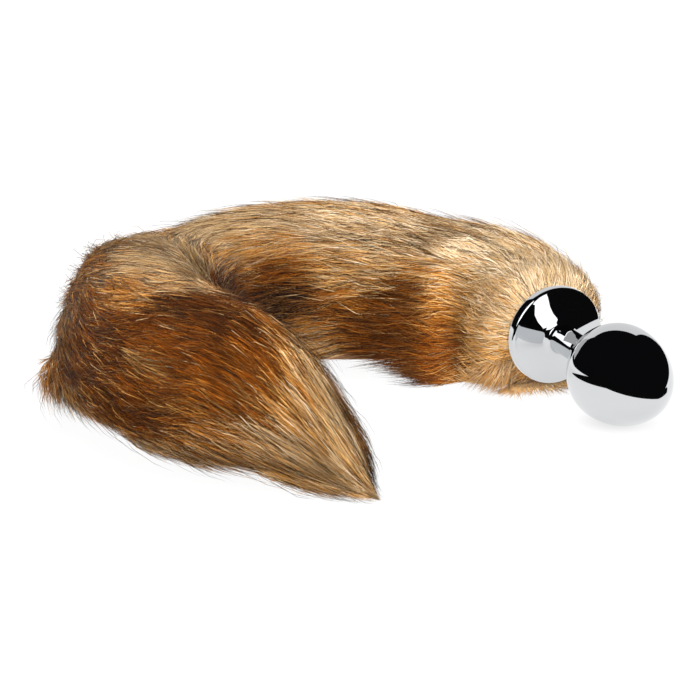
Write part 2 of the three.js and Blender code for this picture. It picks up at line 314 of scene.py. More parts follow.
def route_table(steps=24):
    """Places, distances and directions along the route, a centripetal Catmull-Rom curve through its
    points."""
    stops = base_back[:2] + ROUTE * TAIL_LENGTH
    stops = np.vstack([2 * stops[0] - stops[1], stops, 2 * stops[-1] - stops[-2]])
    gaps = np.linalg.norm(np.diff(stops, axis=0), axis=1)[:, None] ** 0.5
    slopes = np.diff(stops, axis=0) / gaps
    wide = (stops[2:] - stops[:-2]) / (gaps[:-1] + gaps[1:])
    start = (slopes[:-1] - wide + slopes[1:])[:-1] * gaps[1:-1]
    end = (slopes[:-1] - wide + slopes[1:])[1:] * gaps[1:-1]
    t = np.linspace(0, 1, steps, endpoint=False)[:, None, None]
    curve = (stops[1:-2] * (2 * t ** 3 - 3 * t ** 2 + 1) + start * (t ** 3 - 2 * t ** 2 + t)
             + stops[2:-1] * (3 * t ** 2 - 2 * t ** 3) + end * (t ** 3 - t ** 2))
    curve = np.vstack([curve.transpose(1, 0, 2).reshape(-1, 2), stops[-2:-1]])
    distance = np.concatenate([[0], np.cumsum(np.linalg.norm(np.diff(curve, axis=0), axis=1))])
    heading = np.gradient(curve, distance, axis=0)
    return curve, distance, heading / np.linalg.norm(heading, axis=1, keepdims=True)


route, route_distance, route_heading = route_table()
tail_end = route_distance[-1]


def fur_point(distance, angle, out):
    """A point of the fur: distance behind the base in mm, angle round the tail (0 on the outer side of the
    curl, a quarter turn on top) and mm out from the outline. Near the base it lies on a ball about the plug's
    axis, back + s axis + (r + out)(side cos a + up sin a), and from there on it passes over to the tail,
    middle + side (wide + out) cos a + up (lift + (high + out) sin a)."""
    distance, angle, out = np.broadcast_arrays(distance, angle, out)
    held = np.clip(distance, 0, tail_end)
    middle = np.stack([np.interp(held, route_distance, route[:, k]) for k in (0, 1)], -1)
    heading = np.stack([np.interp(held, route_distance, route_heading[:, k]) for k in (0, 1)], -1)
    middle = middle + (distance - held)[..., None] * heading
    side = np.stack([heading[..., 1], -heading[..., 0]], -1)
    share = held / tail_end
    wide = np.interp(share, SECTIONS[:, 0], SECTIONS[:, 1]) * FUR_RADIUS
    high = np.interp(share, SECTIONS[:, 0], SECTIONS[:, 2]) * FUR_RADIUS
    lift = np.interp(np.maximum(share, BALL_LENGTH / tail_end), SECTIONS[:, 0], SECTIONS[:, 2]) * FUR_RADIUS
    flat = middle + side * (np.maximum(wide + out, 0.2) * np.cos(angle))[..., None]
    tall = lift * (1 - SETTLE) + np.maximum(high + out, 0.2) * np.sin(angle)
    tail = np.concatenate([flat, tall[..., None]], -1)
    reach = np.maximum(np.interp(distance, BALL[:, 0], BALL[:, 1]) + out, 0.2)
    ball = (base_back - distance[..., None] * axis + across * (reach * np.cos(angle))[..., None]
            + upright * (reach * np.sin(angle))[..., None])
    share = smooth((distance - 10) / 34)[..., None]
    return ball * (1 - share) + tail * share


def wander(seed, *places):
    """A fixed scatter between 0 and 1 for whole-number places."""
    total = sum(p * k for p, k in zip(places, (12.9898, 78.233, 37.719))) + seed * 4.137
    wave = np.sin(total) * 43758.5453
    return wave - np.floor(wave)


def backing():
    """Points and faces of the backing: rings of fur_point 5 mm inside the outline, with a shallow streaky
    relief, let down to the surface below, and closed at both ends."""
    along = 150
    around = 72
    distance = np.linspace(0, 1, along) ** 1.05 * (tail_end - 2) + 0.4
    angle = np.arange(around) * 2 * math.pi / around
    ripple = (0.5 * np.sin(9 * angle + 0.07 * distance[:, None])
              + 0.4 * np.sin(23 * angle - 0.05 * distance[:, None]))
    inside = -BACKING_DEPTH + ripple - 3.0 * smooth(1 - distance / 12)[:, None]
    points = fur_point(distance[:, None], angle, inside)
    points[..., 2] = np.maximum(points[..., 2], FLOOR_CLEAR)
    # the front closes round the post
    collar = np.cos(angle)[:, None] * across + np.sin(angle)[:, None] * upright
    mouth = base_back - 0.5 * axis + WELL_RADIUS * collar
    well = base_back - WELL_DEPTH * axis + WELL_RADIUS * collar
    rings = np.concatenate([well[None], mouth[None], points])
    ends = [base_back - WELL_DEPTH * axis, points[-1].mean(0)]
    flat = np.concatenate([ends[0][None], rings.reshape(-1, 3), ends[1][None]])
    count = len(rings)
    row = np.arange(count - 1)[:, None] * around + 1
    here, beside = row + np.arange(around), row + (np.arange(around) + 1) % around
    walls = np.stack([here, beside, beside + around, here + around], -1).reshape(-1, 4)
    first = np.stack([np.zeros(around), beside[0], here[0]], -1)
    last = np.stack([np.full(around, len(flat) - 1), here[-1] + around, beside[-1] + around], -1)
    # every corner of a face has the map of the face: its strongest tone, with the painted root shade of a
    # hair a third of the way up
    share = np.concatenate([np.zeros(2), distance[1:] / tail_end]).clip(0, 1)
    share, around_map = np.meshgrid(share, angle, indexing="ij")
    tone = tone_weights(share.ravel(), (around_map.ravel() + 0.9) % (2 * math.pi) - 0.9).argmax(1)
    tone = np.concatenate([tone, tone[:around], tone[-around:]])
    corner_count = np.concatenate([np.full(len(walls), 4), np.full(2 * around, 3)])
    u = np.repeat((tone + 0.4) / len(TONES), corner_count)
    quad = np.array([0, 1, 1, 0])
    nudge = np.concatenate([np.tile(quad, len(walls)), np.tile(quad[:3], 2 * around)]) * 0.002
    lift_map = np.concatenate([np.tile([0, 0, 1, 1], len(walls)), np.tile([0, 0, 1], 2 * around)]) * 0.02
    return flat, [walls, first, last], np.stack([u + nudge, 0.30 + lift_map], -1)


# The long fur: faux-fur pile that grows out of the backing and lies along the tail towards its tip. Wisps of
# hair close to points, locks part from each other, and colours run in streaks from pale beige to black brown.
TONES = [
    ("black", "2a1d14", "120c0a"),
    ("umber", "482509", "29160a"),
    ("chocolate", "6a370f", "46240d"),
    ("sooty", "91602f", "1e1612"),
    ("rust", "964f0f", "78400e"),
    ("ginger", "ba782f", "9e6127"),
    ("olive", "a08150", "80653a"),
    ("grey", "99856d", "6c5a48"),
    ("taupe", "b69974", "987c5c"),
    ("golden", "dba55e", "cc9048"),
    ("beige", "dcbd8e", "ccaa7a"),
    ("pale", "efdcbe", "dfc8a6"),
]
TONE = {row[0]: number for number, row in enumerate(TONES)}
GROUND = {"umber": 0.03, "chocolate": 0.03, "sooty": 0.08, "ginger": 0.04, "taupe": 0.05, "golden": 0.05,
          "beige": 0.05, "black": 0.02}

# how tones gather: place along the tail, angle round it, half length, half angle, strength of each tone
PATCHES = [
    (0.00, 90, 0.03, 60, {"pale": 2.0, "beige": 1.5, "taupe": 0.5}),
    (0.05, 110, 0.045, 32, {"pale": 2.0, "beige": 1.8, "taupe": 0.4}),
    (0.02, 165, 0.03, 30, {"beige": 1.6, "golden": 1.0, "pale": 0.6}),
    (0.04, 205, 0.04, 20, {"golden": 3.6, "beige": 3.0, "ginger": 0.4}),
    (0.03, 265, 0.06, 45, {"taupe": 1.6, "beige": 1.6, "golden": 1.6, "ginger": 0.5}),
    (0.06, 155, 0.03, 18, {"beige": 1.4, "golden": 1.4, "pale": 0.3}),
    (0.055, 198, 0.035, 22, {"golden": 3.4, "ginger": 1.0, "beige": 1.4}),
    (0.11, 115, 0.045, 30, {"beige": 1.8, "pale": 1.8, "golden": 0.4}),
    (0.11, 152, 0.03, 14, {"golden": 2.0, "beige": 0.8, "ginger": 0.5}),
    (0.115, 175, 0.03, 16, {"ginger": 2.4, "golden": 1.6}),
    (0.13, 200, 0.04, 20, {"chocolate": 1.8, "rust": 2.4, "ginger": 1.0}),
    (0.17, 118, 0.04, 24, {"beige": 2.4, "pale": 1.6, "taupe": 0.5}),
    (0.17, 150, 0.025, 13, {"ginger": 1.8, "golden": 1.8}),
    (0.19, 172, 0.04, 14, {"chocolate": 2.2, "rust": 2.2, "umber": 1.2}),
    (0.20, 205, 0.05, 18, {"chocolate": 2.0, "umber": 0.6, "rust": 1.8}),
    (0.23, 110, 0.04, 18, {"beige": 1.4, "pale": 2.0, "golden": 0.4}),
    (0.23, 133, 0.03, 12, {"taupe": 1.4, "beige": 1.2, "sooty": 0.6}),
    (0.25, 154, 0.03, 14, {"golden": 4.6, "beige": 4.6, "pale": 1.6}),
    (0.25, 178, 0.04, 13, {"rust": 2.2, "ginger": 1.2, "chocolate": 0.8, "black": 0.4}),
    (0.27, 200, 0.05, 16, {"chocolate": 1.4, "rust": 2.4, "ginger": 1.2}),
    (0.335, 207, 0.035, 18, {"ginger": 2.4, "taupe": 3.0, "golden": 1.4}),
    (0.31, 100, 0.04, 22, {"beige": 2.0, "golden": 0.8, "pale": 1.6}),
    (0.31, 128, 0.03, 14, {"beige": 1.6, "pale": 1.2, "taupe": 0.5}),
    (0.315, 151, 0.028, 14, {"golden": 5.6, "beige": 3.4}),
    (0.32, 178, 0.035, 14, {"rust": 2.2, "ginger": 1.2, "chocolate": 0.8}),
    (0.37, 106, 0.04, 22, {"taupe": 1.4, "grey": 0.4, "beige": 2.4, "pale": 1.0}),
    (0.37, 133, 0.03, 13, {"golden": 1.8, "taupe": 0.8, "ginger": 0.5}),
    (0.37, 151, 0.03, 9, {"rust": 2.2, "ginger": 1.4}),
    (0.37, 170, 0.03, 11, {"black": 3.6, "umber": 2.6}),
    (0.38, 204, 0.04, 16, {"ginger": 2.2, "taupe": 2.6, "golden": 1.2}),
    (0.43, 100, 0.04, 24, {"beige": 1.8, "taupe": 1.0, "pale": 0.5}),
    (0.44, 130, 0.03, 13, {"golden": 3.0, "taupe": 1.2, "beige": 0.6}),
    (0.43, 150, 0.035, 10, {"rust": 3.0, "ginger": 1.2}),
    (0.43, 175, 0.04, 14, {"umber": 2.4, "black": 1.6}),
    (0.47, 105, 0.035, 22, {"beige": 3.2, "pale": 1.2, "taupe": 1.0}),
    (0.50, 130, 0.03, 13, {"taupe": 1.8, "golden": 3.4}),
    (0.495, 152, 0.03, 12, {"chocolate": 2.2, "rust": 1.4, "umber": 0.8}),
    (0.56, 104, 0.035, 30, {"taupe": 2.0, "olive": 2.4, "grey": 1.4}),
    (0.55, 45, 0.04, 28, {"ginger": 1.2, "taupe": 1.0, "sooty": 0.6, "olive": 0.5}),
    (0.54, 0, 0.05, 25, {"ginger": 1.2, "taupe": 0.8, "sooty": 1.0, "olive": 0.5}),
    (0.54, 152, 0.035, 15, {"umber": 6.0, "chocolate": 4.0}),
    (0.62, 92, 0.032, 26, {"beige": 2.0, "pale": 0.6, "taupe": 1.2}),
    (0.61, 58, 0.035, 16, {"ginger": 1.2, "chocolate": 1.0, "olive": 0.6, "sooty": 0.6}),
    (0.60, 5, 0.035, 30, {"ginger": 2.2, "taupe": 2.0, "golden": 1.0, "sooty": 0.5}),
    (0.66, 0, 0.035, 25, {"rust": 1.8, "chocolate": 1.6, "umber": 1.0, "golden": 0.6}),
    (0.65, -34, 0.035, 14, {"taupe": 3.0, "golden": 2.0, "ginger": 1.4, "sooty": 0.8, "beige": 1.0}),
    (0.67, 42, 0.035, 20, {"rust": 2.2, "chocolate": 2.0, "golden": 0.6}),
    (0.68, 72, 0.035, 13, {"ginger": 2.2, "golden": 1.4}),
    (0.685, 102, 0.045, 22, {"beige": 2.0, "taupe": 1.4, "golden": 0.8}),
    (0.71, 14, 0.03, 22, {"umber": 3.2, "chocolate": 2.4, "rust": 1.2, "golden": 0.6}),
    (0.775, 27, 0.018, 8, {"olive": 3.4, "grey": 0.8}),
    (0.72, -18, 0.05, 14, {"chocolate": 2.0, "rust": 1.2, "umber": 0.8, "golden": 0.6}),
    (0.74, -40, 0.05, 14, {"taupe": 2.2, "ginger": 1.6, "golden": 1.4}),
    (0.765, 73, 0.028, 13, {"umber": 5.0, "chocolate": 2.0}),
    (0.785, 90, 0.03, 13, {"chocolate": 2.8, "umber": 2.2, "rust": 0.6}),
    (0.775, 113, 0.03, 15, {"chocolate": 3.0, "umber": 1.2, "taupe": 0.6}),
    (0.77, 50, 0.03, 14, {"rust": 2.6, "chocolate": 3.4, "umber": 1.2}),
    (0.77, 10, 0.03, 16, {"chocolate": 2.6, "umber": 1.8, "rust": 1.0, "golden": 0.6}),
    (0.78, -12, 0.03, 14, {"rust": 1.2, "chocolate": 2.4, "umber": 1.6, "golden": 0.5}),
    (0.82, -38, 0.05, 16, {"taupe": 2.2, "golden": 1.6, "beige": 0.8}),
    (0.82, 45, 0.04, 18, {"rust": 3.6, "chocolate": 4.4, "umber": 0.6}),
    (0.815, 80, 0.04, 18, {"umber": 7.0, "chocolate": 3.4}),
    (0.83, 12, 0.035, 15, {"ginger": 1.4, "chocolate": 2.4, "rust": 1.4, "olive": 0.6}),
    (0.83, 113, 0.035, 18, {"rust": 1.8, "ginger": 1.0, "chocolate": 2.4}),
    (0.88, 138, 0.03, 20, {"taupe": 1.6, "golden": 2.4, "beige": 2.4}),
    (0.85, -12, 0.035, 18, {"ginger": 1.6, "chocolate": 2.0, "taupe": 1.0, "golden": 0.6}),
    (0.88, 84, 0.03, 16, {"rust": 3.0, "chocolate": 2.6, "ginger": 0.6}),
    (0.875, 55, 0.03, 16, {"rust": 3.4, "chocolate": 3.0, "ginger": 0.6}),
    (0.88, 26, 0.03, 12, {"chocolate": 3.0, "rust": 2.2, "olive": 0.8}),
    (0.93, -24, 0.04, 24, {"beige": 2.4, "golden": 2.0, "taupe": 0.8}),
    (0.92, 10, 0.03, 12, {"beige": 2.0, "taupe": 1.4, "chocolate": 0.6}),
    (0.93, 45, 0.03, 14, {"golden": 2.4, "ginger": 1.8, "sooty": 0.8}),
    (0.91, 69, 0.045, 5, {"umber": 1.8, "chocolate": 1.4}),
    (0.92, 78, 0.03, 10, {"golden": 1.8, "ginger": 1.2}),
    (0.92, 100, 0.04, 16, {"golden": 2.6, "taupe": 1.0, "beige": 2.4}),
    (0.94, 135, 0.045, 30, {"pale": 5.0, "beige": 5.0, "taupe": 1.6}),
    (0.97, 50, 0.04, 90, {"golden": 4.0, "beige": 5.0, "pale": 1.6, "sooty": 0.5}),
]

# where the hair is combed aside or stands off: place, angle, half length, half angle, mm aside, mm off
COMBING = [
    (0.02, 45, 0.03, 40, 0.0, -2.4),
    (0.12, 88, 0.06, 45, 0.0, -4.2),
    (0.04, 222, 0.06, 30, 0.0, 10.0),
    (0.075, 218, 0.04, 28, 0.0, 6.0),
    (0.34, 90, 0.07, 40, 0.0, -1.6),
    (0.46, 118, 0.05, 38, 12.0, 0.0),
    (0.43, 85, 0.045, 35, 0.0, -4.6),
    (0.565, 75, 0.05, 42, 17.0, 0.0),
    (0.53, 60, 0.05, 38, 0.0, 6.5),
    (0.588, -18, 0.018, 14, 0.0, 13.0),
    (0.645, -42, 0.03, 14, 0.0, -5.0),
    (0.61, 12, 0.05, 28, 0.0, -6.5),
    (0.69, -36, 0.03, 18, 0.0, -4.5),
    (0.83, -36, 0.03, 20, 0.0, -3.0),
    (0.22, 224, 0.05, 28, 0.0, -5.0),
    (0.66, 80, 0.03, 25, 5.0, 0.0),
    (0.74, 20, 0.03, 22, -6.0, 0.5),
    (0.80, -20, 0.04, 25, -3.0, 1.5),
    (0.87, 155, 0.05, 45, 0.0, -1.8),
    (0.955, 150, 0.035, 50, 0.0, -6.5),
    (0.94, -5, 0.04, 35, 0.0, -5.5),
]

# how long and how wide in mm a wisp of hairs, a lock of wisps and a streak of light or dark hairs are
WISP_LONG, WISP_WIDE = 9, 2.6
LOCK_LONG, LOCK_WIDE = 22, 10
STREAK_LONG, STREAK_WIDE = 7, 1.1
HAIR_TURNS = np.array([0, 1, 2]) * 2 * math.pi / 3
# the roots' range of angles round the tail, which leaves out its underside
LOWEST, HIGHEST = math.radians(-44), math.radians(226)


def gather(rows, share, angle):
    """Each row's strength at a place, exp(-a^2 - b^2): a is how far the place is from the row's, in half
    lengths, and b how far the angle is from the row's, in half angles."""
    rows = np.array([row[:4] for row in rows], float)
    along = (share[:, None] - rows[:, 0]) / rows[:, 2]
    around = (np.degrees(angle)[:, None] - rows[:, 1]) / rows[:, 3]
    return np.exp(-along ** 2 - around ** 2)


def stretch(distance, angle):
    """How far a point of the outline moves for each mm of distance along the tail."""
    return np.linalg.norm(fur_point(distance + 1, angle, 0.0) - fur_point(distance, angle, 0.0), axis=-1)


def tone_weights(share, angle):
    """How strong each tone is at a place: what grows everywhere and what the patches round it add."""
    weights = np.tile([GROUND.get(row[0], 0.0) for row in TONES], (len(share), 1))
    pull = gather(PATCHES, share, angle)
    for number, row in enumerate(PATCHES):
        for name, strength in row[4].items():
            weights[:, TONE[name]] += pull[:, number] * strength
    return weights


def pick_tones(rng, share, angle, wisp):
    """A tone for each hair, by chance from the patches round it, and a lightness from 0 to 1 near its
    wisp's."""
    steps = np.cumsum(tone_weights(share, angle), axis=1)
    steps /= steps[:, -1:]
    own = rng.random(len(share))
    own = np.where(rng.random(len(share)) < 0.35, (0.85 * wisp + 0.15 * own) % 1.0, own)
    tone = (own[:, None] > steps).sum(1).clip(0, len(TONES) - 1)
    light = np.clip(0.30 + 0.40 * wisp + 0.13 * rng.normal(size=len(share)), 0.04, 0.96)
    return tone, light


def hair_paths(rng, start, angle, length, depth, lift, steps):
    """Points of each hair at the steps from root to tip, and its wisp, place and angle where it shows. The
    distance runs on along the tail, the angle closes on its wisp's and its lock's own as t^1.4, and the hair
    rises as 1 - (1 - t)^2.4 from its root to the outline."""
    rows = np.floor(start / WISP_LONG)
    cell = angle * FUR_RADIUS
    column = np.floor(cell / WISP_WIDE + wander(1, rows))
    wisp = (column + 0.5 - wander(1, rows)) * WISP_WIDE / FUR_RADIUS
    lock_row = np.floor(start / LOCK_LONG)
    lock_column = np.floor(cell / LOCK_WIDE + wander(2, lock_row))
    lock = (lock_column + 0.5 - wander(2, lock_row)) * LOCK_WIDE / FUR_RADIUS
    lock_turn = (wander(3, lock_row, lock_column) - 0.5) * 10
    wisp_turn = (wander(4, rows, column) - 0.5) * 6
    comb = gather(COMBING, start / tail_end, angle)
    aside = comb @ [row[4] for row in COMBING] + lock_turn + wisp_turn
    # the hairs spread more near the base and towards the tip
    spread = 2.9 + 2.0 * (1 - smooth(start / 45)) + 1.6 * smooth((start / tail_end - 0.78) / 0.15)
    aside = aside + rng.normal(size=len(start)) * spread
    stand = comb @ [row[5] for row in COMBING] + (wander(5, lock_row, lock_column) - 0.6) * 2.4
    stand = stand + (wander(6, rows, column) - 0.5) * 1.6 + lift
    # the last row is where the hair shows
    t = np.append(steps, 0.75)[:, None]
    close = 0.15 + 0.4 * wander(9, rows, column)
    turn = angle + (wisp - angle) * t ** 1.4 * close + (lock - wisp) * t ** 2 * 0.3
    turn = turn + aside / FUR_RADIUS * t ** 1.3
    out = -depth + (depth + stand) * (1 - (1 - t) ** 2.4)
    distance = start + length / stretch(start, angle).clip(0.55, 2.2) * t
    # hairs that would pass the end of the tail stop near it
    over = np.maximum(distance[-2] - (tail_end - 4 + 6 * rng.random(len(start)) ** 2), 0)
    distance = distance - over * t
    points = fur_point(distance[:-1], turn[:-1], out[:-1])
    low = FLOOR_CLEAR + 0.5 * rng.random(len(start))
    points[..., 2] = np.maximum(points[..., 2], low)
    # nothing reaches over the front of the base
    ahead = np.where((distance[:-1] < 50) & (points[..., 2] > 1.4), (points - base_back) @ axis + 0.4, 0)
    points = points - np.maximum(ahead, 0)[..., None] * axis
    streak = wander(10, np.floor(start / STREAK_LONG), np.floor(cell / STREAK_WIDE))
    return points, 0.55 * wander(8, rows, column) + 0.45 * streak, distance[-1] / tail_end, turn[-1]


def fringe_paths(rng, count, steps):
    """Hairs that come down behind the base and spread over the surface below and round its lower rim, along
    (1 - t)^2 A + 2 t (1 - t) B + t^2 C."""
    angle = np.radians(rng.uniform(196, 340, count))
    ring = np.cos(angle)[:, None] * across + np.sin(angle)[:, None] * upright
    root = base_back - rng.uniform(1.5, 14, count)[:, None] * axis + rng.uniform(9, 21, count)[:, None] * ring
    root[:, 2] = np.maximum(root[:, 2], 1.0)
    away = ring * (1, 1, 0) + 0.5 * axis * (1, 1, 0)
    away += rng.normal(size=(count, 3)) * (0.34, 0.34, 0)
    away /= np.linalg.norm(away, axis=1, keepdims=True)
    length = rng.normal(18.5, 2.6, count).clip(11, 25)[:, None]
    bend = root + away * length * 0.45
    bend[:, 2] = np.maximum(root[:, 2] * 0.5, 1.0)
    tip = root + away * length
    tip[:, 2] = FLOOR_CLEAR + rng.uniform(0, 1.1, count)
    t = steps[:, None, None]
    points = (1 - t) ** 2 * root + 2 * t * (1 - t) * bend + t ** 2 * tip
    # under the rim the hairs are pressed flat
    near = points - base_front
    inside = ((near @ axis > -BASE_THICK - 1.0) & (np.abs(near @ across) < 21)).any(0)
    points[..., 2] = np.where(inside, np.minimum(points[..., 2], 1.1), points[..., 2])
    return points


def hair_mesh(paths, girth, tone, light, steps):
    """Points, faces and map of closed three-sided hairs, path + girth (first cos a + second sin a), that come
    to a point at both ends. The map's first number is (tone + lightness) / number of tones, and its second
    the place from root to tip."""
    ahead = paths[2:] - paths[:-2]
    ahead /= np.linalg.norm(ahead, axis=-1, keepdims=True)
    first = np.cross(ahead, (0.0, 0.0, 1.0))
    first /= np.maximum(np.linalg.norm(first, axis=-1, keepdims=True), 1e-6)
    second = np.cross(first, ahead)
    rings, count = len(steps) - 2, paths.shape[1]
    thick = girth * np.linspace(1.0, 0.8, rings)[:, None]
    outward = (np.cos(HAIR_TURNS)[:, None] * first[:, :, None]
               + np.sin(HAIR_TURNS)[:, None] * second[:, :, None])
    walls = paths[1:-1, :, None] + thick[..., None, None] * outward
    walls = walls.transpose(1, 0, 2, 3).reshape(count, -1, 3)
    points = np.concatenate([paths[0][:, None], walls, paths[-1][:, None]], 1)
    side, after = np.array([0, 1, 2]), np.array([1, 2, 0])
    offset = (np.arange(count) * points.shape[1])[:, None, None]
    u = ((tone + 0.06 + 0.88 * light) / len(TONES))[:, None, None]
    left, right, zero = np.full(3, -0.0012), np.full(3, 0.0012), np.zeros(3)

    def corners(sideways, along):
        sideways = np.stack(sideways, -1) + u
        return np.stack([sideways, np.broadcast_to(along, sideways.shape)], -1).reshape(-1, 2)

    bottom = np.stack([zero, 1 + after, 1 + side], -1) + offset
    faces, values = [bottom], [corners((zero, right, left), (0, steps[1], steps[1]))]
    for ring in range(rings - 1):
        here, beyond = 1 + 3 * ring, 4 + 3 * ring
        faces.append(np.stack([here + side, here + after, beyond + after, beyond + side], -1) + offset)
        low, high = steps[1 + ring], steps[2 + ring]
        values.append(corners((left, right, right, left), (low, low, high, high)))
    last = 3 * rings - 2
    faces.append(np.stack([last + side, last + after, zero + last + 3], -1) + offset)
    values.append(corners((left, right, zero), (steps[-2], steps[-2], 1)))
    faces = [f.reshape(-1, f.shape[-1]) for f in faces]
    return points.reshape(-1, 3), faces, np.concatenate(values)


hair, hair_shader, shade = new_material("fox_hair", Roughness=0.55, Specular_IOR_Level=0.14)
place = shade.node("ShaderNodeUVMap", {"uv_map": "OFBake"})
across_map, along_map = place.part("X"), place.part("Y")
scaled = across_map * float(len(TONES))
lightness = scaled - scaled.maths("FLOOR", scaled)
middle_tone = across_map.ramp([(n / len(TONES), paint(row[1])) for n, row in enumerate(TONES)], "CONSTANT")
tip_tone = across_map.ramp([(n / len(TONES), paint(row[2])) for n, row in enumerate(TONES)], "CONSTANT")
colour = along_map.between(0.45, 0.95).mix(middle_tone, tip_tone)
# painted shade: each hair is darker near its root, from 0.62 at the root to 1.02 halfway up, and lighter or
# darker as a whole by its own lightness
root_shade_and_lightness = (0.62 + 0.40 * along_map.between(0.05, 0.5)) * (0.76 + 0.56 * lightness)
feed(hair_shader, "Base Color", colour.times(root_shade_and_lightness))

# the backing is painted with the fur's own tones and their painted root shade
points, faces, values = backing()
tail_backing = new_piece("tail_backing", points, faces, hair, maps={"OFBake": values})
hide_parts("fur_tail")
tail_backing.visible_glossy = False
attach(tail_backing, "root")

HAIRS_PER_PIECE = 27000
FRINGE_HAIRS = 3000
FUR_STEPS = np.array([0.0, 0.5, 1.0])
# name, first and last place of the roots along the tail, seed
STRETCHES = [
    ("fur_base", -0.03, 0.17, 11),
    ("fur_saddle", 0.17, 0.36, 12),
    ("fur_bend", 0.36, 0.56, 13),
    ("fur_fold", 0.56, 0.75, 14),
    ("fur_brush", 0.75, 0.98, 15),
]
for name, first, last, seed in STRETCHES:
    rng = np.random.default_rng(seed)
    start = rng.uniform(first, last, 4 * HAIRS_PER_PIECE) * tail_end
    # near the base the roots go on round the ball's underside
    wider = math.radians(142) * (1 - smooth(start / 55))
    angle = rng.uniform(0, 1, len(start)) * (HIGHEST - LOWEST + wider) + LOWEST - wider * 0.28
    # roots are kept in proportion to the surface round them, so that the pile is equally dense
    share = (start / tail_end).clip(0.06, 1)
    room = stretch(np.maximum(start, 0), angle) * np.interp(share, SECTIONS[:, 0], SECTIONS[:, 1])
    kept = rng.choice(len(start), HAIRS_PER_PIECE, replace=False, p=room / room.sum())
    start, angle = start[kept], angle[kept]
    near_tip = smooth((start / tail_end - 0.80) / 0.18)
    near_base = 1 - smooth(start / 40)
    length = rng.normal(25, 4, len(start)).clip(14, 36) * (1 - 0.38 * near_base)
    depth = rng.uniform(3.5, 7.5, len(start)) * (1 - 0.75 * near_tip)
    lift = rng.normal(-0.4, 0.8, len(start))
    stray = rng.random(len(start)) < 0.05
    lift[stray] += rng.uniform(0.5, 3.5, stray.sum())
    paths, wisp, seen, seen_angle = hair_paths(rng, start, angle, length, depth, lift, FUR_STEPS)
    tone, light = pick_tones(rng, seen.clip(0, 1), seen_angle, wisp)
    dark = rng.random(len(start)) < 0.09
    tone[dark] = np.where(rng.random(dark.sum()) < 0.6, TONE["sooty"], TONE["black"])
    girth = rng.uniform(0.11, 0.165, len(start)) * np.where(stray | dark, 0.6, 1.0) * (1 - 0.3 * near_tip)
    if name == "fur_base":
        paths = np.concatenate([paths, fringe_paths(rng, FRINGE_HAIRS, FUR_STEPS)], 1)
        low_tone, low_light = pick_tones(rng, np.full(FRINGE_HAIRS, 0.03), np.full(FRINGE_HAIRS, 4.5),
                                         rng.random(FRINGE_HAIRS))
        tone, light = np.concatenate([tone, low_tone]), np.concatenate([light, low_light])
        girth = np.concatenate([girth, rng.uniform(0.10, 0.16, FRINGE_HAIRS)])
    points, faces, values = hair_mesh(paths, girth, tone, light, FUR_STEPS)
    piece = new_piece(name, points, faces, hair, maps={"OFBake": values})
    piece.visible_glossy = False
    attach(piece, "root")

# The guard hairs: longer, stiffer and thinner than the rest, with black ends. They stand off a little and
# break the outline, most of all round the curl's outer end, along the brush and at its tip.
GUARD_HAIRS = 7500
GUARD_STEPS = np.array([0.0, 0.36, 0.72, 1.0])
# where they crowd: place along the tail, angle round it, half length, half angle, how much
GUARD_CROWDS = [
    (0.58, 10, 0.08, 60, 1.6),
    (0.90, 165, 0.06, 35, 1.6),
    (0.75, -30, 0.12, 25, 1.0),
    (0.35, 180, 0.12, 35, 0.9),
]
rng = np.random.default_rng(21)
start = rng.uniform(0.04, 0.97, 6 * GUARD_HAIRS) * tail_end
angle = rng.uniform(LOWEST, HIGHEST, len(start))
crowd = 0.35 + gather(GUARD_CROWDS, start / tail_end, angle) @ [row[4] for row in GUARD_CROWDS]
kept = rng.choice(len(start), GUARD_HAIRS, replace=False, p=crowd / crowd.sum())
start, angle = start[kept], angle[kept]
length = rng.normal(31, 5, GUARD_HAIRS).clip(20, 44)
lift = 0.3 + rng.exponential(1.2, GUARD_HAIRS).clip(0, 5)
lift += 5 * rng.random(GUARD_HAIRS) * gather([(0.86, 165, 0.08, 35)], start / tail_end, angle)[:, 0]
depth = rng.uniform(2, 5, GUARD_HAIRS)
paths = hair_paths(rng, start, angle, length, depth, lift, GUARD_STEPS)[0]
tone = np.where(rng.random(GUARD_HAIRS) < 0.5, TONE["sooty"], TONE["black"])
light = rng.uniform(0.1, 0.8, GUARD_HAIRS)
points, faces, values = hair_mesh(paths, rng.uniform(0.06, 0.10, GUARD_HAIRS), tone, light, GUARD_STEPS)
guard = new_piece("guard_hairs", points, faces, hair, maps={"OFBake": values})
guard.visible_glossy = False
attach(guard, "root")

# The surface that it lies on: a white table that runs on past the picture's edges. It glows by itself, so
# that it stays white, and a painted contact shadow dims it under the bulb.
TABLE_REACH = 3000.0
TABLE_DROP = 0.05
table_top, table_shader, shade = new_material("white_table", Base_Color=(0.06, 0.06, 0.06, 1), Roughness=0.6,
                                              Specular_IOR_Level=0.0)
table_shader.inputs["Emission Strength"].default_value = 1.0
spot = shade.node("ShaderNodeTexCoord", output="Object")
from_middle = spot.node("ShaderNodeVectorMath", {"operation": "LENGTH"}, {0: spot}, "Value")
under = (base_front + axis * (STEM_END + BULB_BACK)) * MM * (1, 1, 0)
from_bulb = spot.node("ShaderNodeVectorMath", {"operation": "DISTANCE"}, {0: spot, 1: tuple(under)}, "Value")
# painted shadow: the glow drops to 0.8 right under the bulb; it is also a little lower within 15 cm of the
# middle
glow = (0.95 + 0.07 * from_middle.between(0.15, 0.45)) * (0.80 + 0.20 * from_bulb.between(0.003, 0.018))
white = glow.node("ShaderNodeCombineColor", None, {"Red": glow, "Green": glow, "Blue": glow})
feed(table_shader, "Emission Color", white)
plan = np.array([(-1, -1), (1, -1), (1, 1), (-1, 1)]) * TABLE_REACH
corners = np.column_stack([plan, np.full(4, -TABLE_DROP)])
table = new_piece("table", corners, [np.array([[0, 1, 2, 3]])], table_top, smooth=False)

